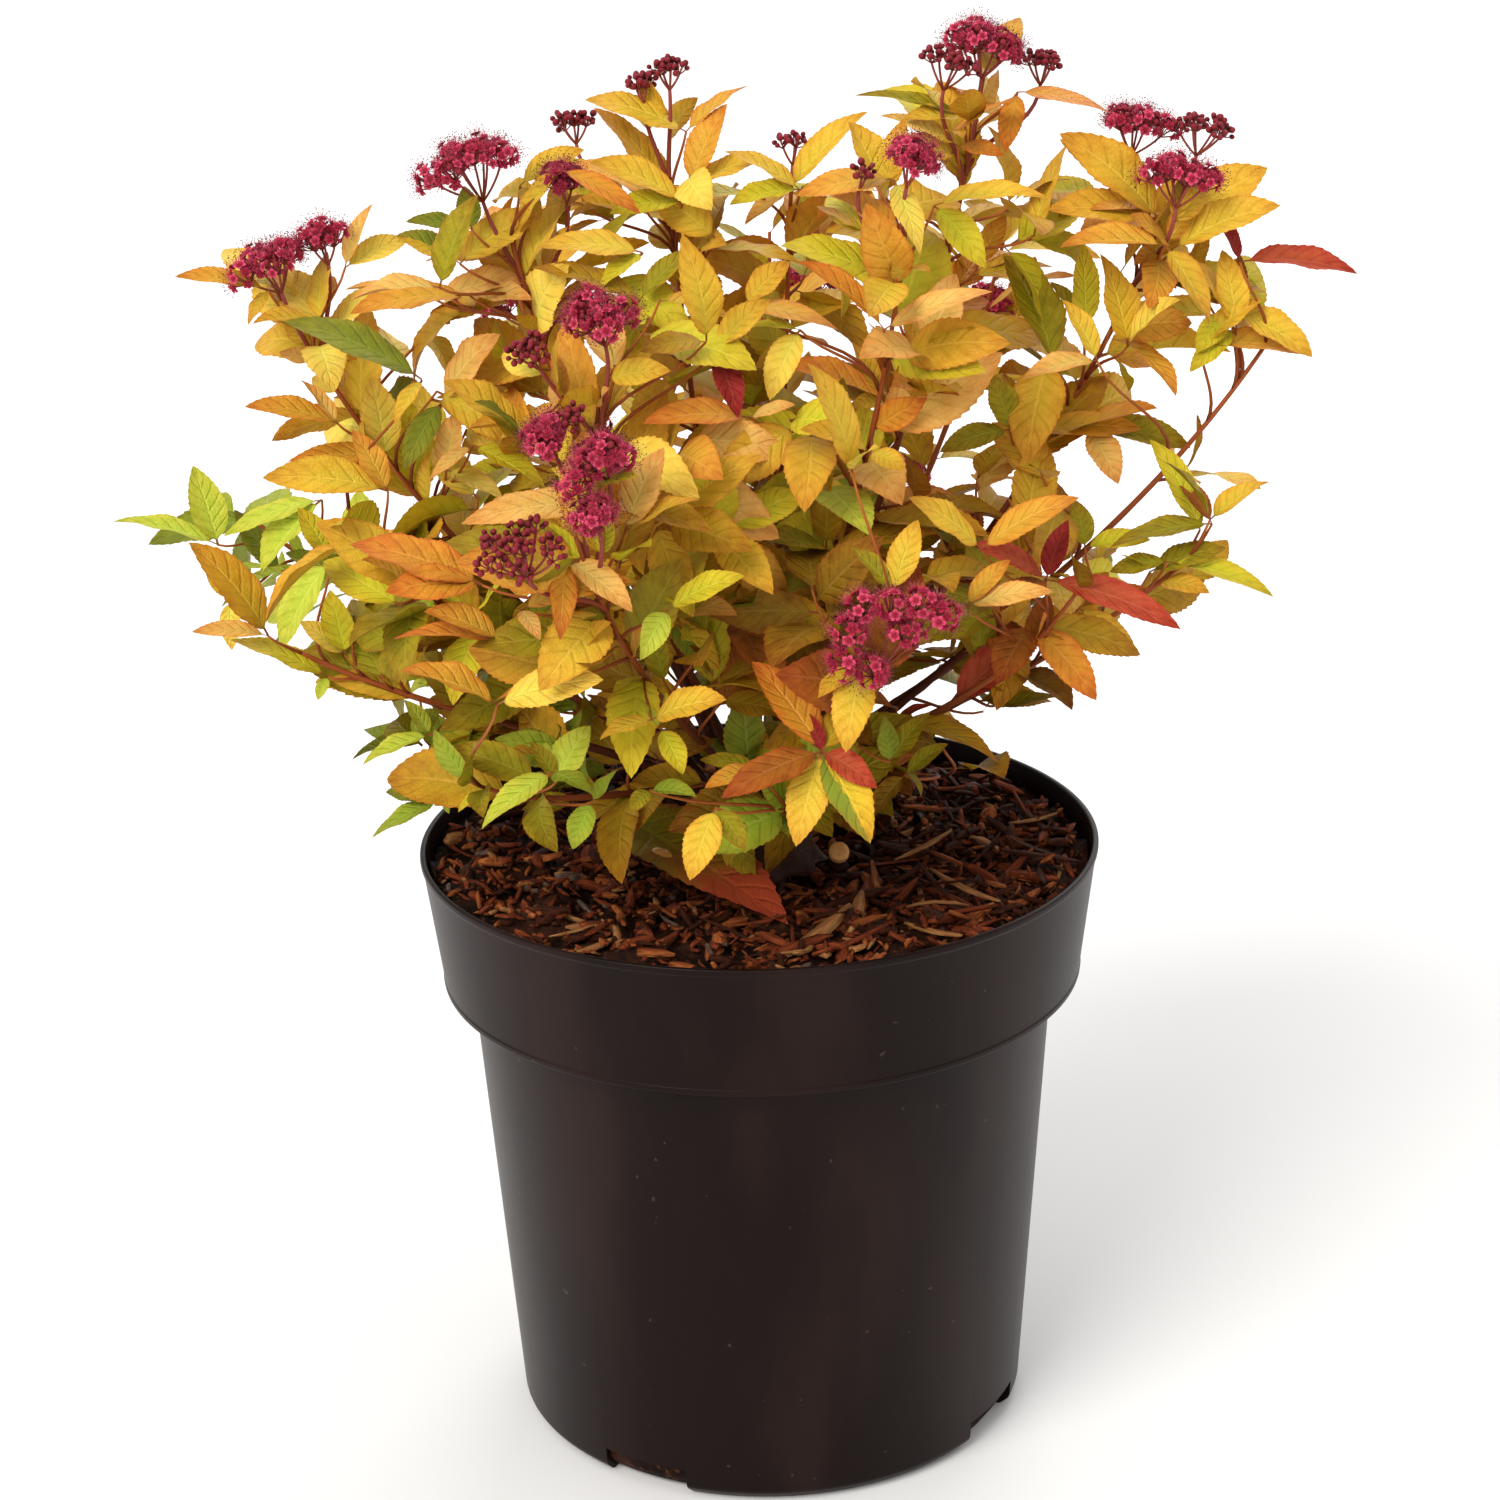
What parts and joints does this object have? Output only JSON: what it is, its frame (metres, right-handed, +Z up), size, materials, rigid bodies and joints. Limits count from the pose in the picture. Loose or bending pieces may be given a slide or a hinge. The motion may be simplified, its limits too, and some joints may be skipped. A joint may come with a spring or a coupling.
{
  "type": "spirea shrub",
  "caption": "Golden-leaved flowering shrub with flat pink blossom heads, growing in a round black nursery pot with a wide collar.",
  "frame": {"origin": "centre of the pot's flat underside", "axes": "+Z up, the longest way; the side shown in the picture faces -Y, with +X to its right"},
  "size_m": [0.3298, 0.2616, 0.3924],
  "materials": {
    "pot_plastic": "satin black moulded plastic",
    "bark_mulch": "rough shredded bark on potting mix",
    "shrub_bark": "red-brown bark with fine ridges",
    "foliage": "satin golden and orange leaves",
    "blossom": "matte magenta petals and stamens"
  },
  "bodies": {
    "root": {"cut_stub": "shrub_bark", "foliage_back": "foliage", "foliage_back_left": "foliage", "foliage_back_left_low": "foliage", "foliage_back_low": "foliage", "foliage_back_right": "foliage", "foliage_back_right_low": "foliage", "foliage_far_left_spray": "foliage", "foliage_far_left_top": "foliage", "foliage_far_right_top": "foliage", "foliage_front_left": "foliage", "foliage_front_left_low": "foliage", "foliage_front_left_top": "foliage", "foliage_front_low": "foliage", "foliage_front_right": "foliage", "foliage_front_right_middle": "foliage", "foliage_front_top": "foliage", "foliage_left_foot": "foliage", "foliage_left_low": "foliage", "foliage_left_middle": "foliage", "foliage_left_top": "foliage", "foliage_middle_top": "foliage", "foliage_right_foot": "foliage", "foliage_right_middle": "foliage", "foliage_right_top": "foliage", "foliage_top": "foliage", "foliage_top_back": "foliage", "pot": "pot_plastic", "potting_mix": "bark_mulch", "stem_back": "shrub_bark", "stem_back_left": "shrub_bark", "stem_back_left_low": "shrub_bark", "stem_back_low": "shrub_bark", "stem_back_right": "shrub_bark", "stem_back_right_low": "shrub_bark", "stem_far_left_spray": "shrub_bark", "stem_far_left_top": "shrub_bark", "stem_far_right_top": "shrub_bark", "stem_front_left": "shrub_bark", "stem_front_left_low": "shrub_bark", "stem_front_left_top": "shrub_bark", "stem_front_right": "shrub_bark", "stem_front_right_middle": "shrub_bark", "stem_front_top": "shrub_bark", "stem_left_low": "shrub_bark", "stem_left_middle": "shrub_bark", "stem_left_top": "shrub_bark", "stem_middle_top": "shrub_bark", "stem_right_middle": "shrub_bark", "stem_right_top": "shrub_bark", "stem_top": "shrub_bark", "stem_top_back": "shrub_bark", "woody_crown": "shrub_bark"}
  },
  "joints": []
}
